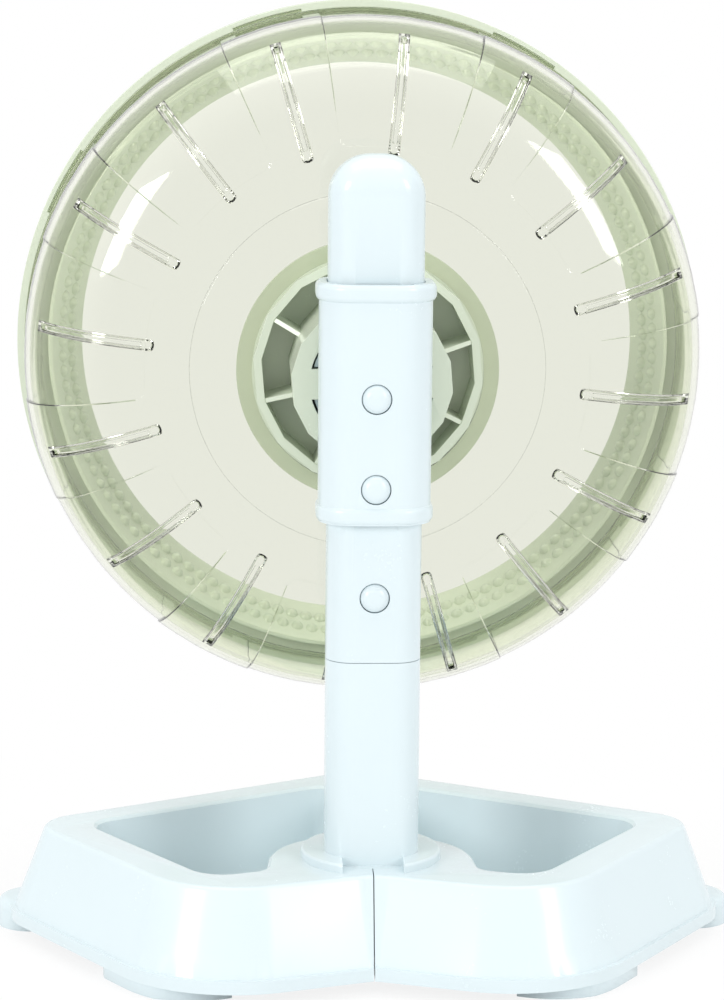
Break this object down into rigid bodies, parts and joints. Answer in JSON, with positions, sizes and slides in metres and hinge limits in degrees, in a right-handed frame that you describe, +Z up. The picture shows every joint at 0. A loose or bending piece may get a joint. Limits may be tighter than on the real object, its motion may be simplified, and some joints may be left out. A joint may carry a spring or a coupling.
{
  "type": "rodent exercise wheel",
  "caption": "Clear drum on a ball-bearing hub, hung from a sleeve that slides on a post, over a base of food bowls.",
  "frame": {"origin": "on the floor, under the centre of the whole object's box", "axes": "+Z up along the post; +Y out of the wheel's mouth, along its axle; +X to the right seen from the post's side"},
  "size_m": [0.216, 0.1646, 0.268],
  "materials": {
    "pale_blue_plastic": "gloss",
    "pale_green_plastic": "gloss",
    "clear_plastic": "clear, gloss",
    "bearing_steel": "ground and polished",
    "spring_steel": "satin",
    "zinc_plated_steel": "bright zinc plate"
  },
  "bodies": {
    "stand": {"left_bowl": "pale_blue_plastic", "right_bowl": "pale_blue_plastic", "post_foot": "pale_blue_plastic", "post_upper": "pale_blue_plastic", "clamp_disc": "pale_blue_plastic", "base_screws": "zinc_plated_steel", "post_button_spring": "spring_steel"},
    "carriage": {"sleeve": "pale_blue_plastic", "axle": "zinc_plated_steel", "axle_washer": "zinc_plated_steel", "axle_screw": "zinc_plated_steel", "bearing_inner_rings": "bearing_steel", "bearing_spacer": "pale_green_plastic", "spring_brackets": "spring_steel", "lower_button_spring": "spring_steel", "upper_button_spring": "spring_steel"},
    "wheel": {"bearing_outer_rings": "bearing_steel", "bearing_balls": "bearing_steel", "bearing_cages": "bearing_steel", "bearing_shields": "bearing_steel", "bearing_carrier": "pale_blue_plastic", "retaining_ring": "spring_steel", "hub": "pale_green_plastic", "hub_cap": "pale_green_plastic", "drum": "clear_plastic", "front_ring": "pale_green_plastic"},
    "lower_button": {"lower_button": "pale_blue_plastic"},
    "upper_button": {"upper_button": "pale_blue_plastic"},
    "post_button": {"post_button": "pale_blue_plastic"}
  },
  "joints": [
    {"name": "height_slide", "type": "slide", "parent": "stand", "child": "carriage", "axis": [0, 0, 1], "range_m": [0, 0.0248]},
    {"name": "wheel_spin", "type": "hinge", "parent": "carriage", "child": "wheel", "pos_m": [0, 0.00109, 0.163], "axis": [0, 1, 0], "continuous": true},
    {"name": "lower_button_press", "type": "slide", "parent": "carriage", "child": "lower_button", "axis": [0, 1, 0], "range_m": [0, 0.002], "stiffness_N_per_m": 800, "springref_m": -0.001, "deforming": ["lower_button_spring"]},
    {"name": "upper_button_press", "type": "slide", "parent": "carriage", "child": "upper_button", "axis": [0, 1, 0], "range_m": [0, 0.002], "stiffness_N_per_m": 800, "springref_m": -0.001, "deforming": ["upper_button_spring"]},
    {"name": "post_button_press", "type": "slide", "parent": "stand", "child": "post_button", "axis": [0, 1, 0], "range_m": [0, 0.002], "stiffness_N_per_m": 800, "springref_m": -0.001, "deforming": ["post_button_spring"]}
  ]
}
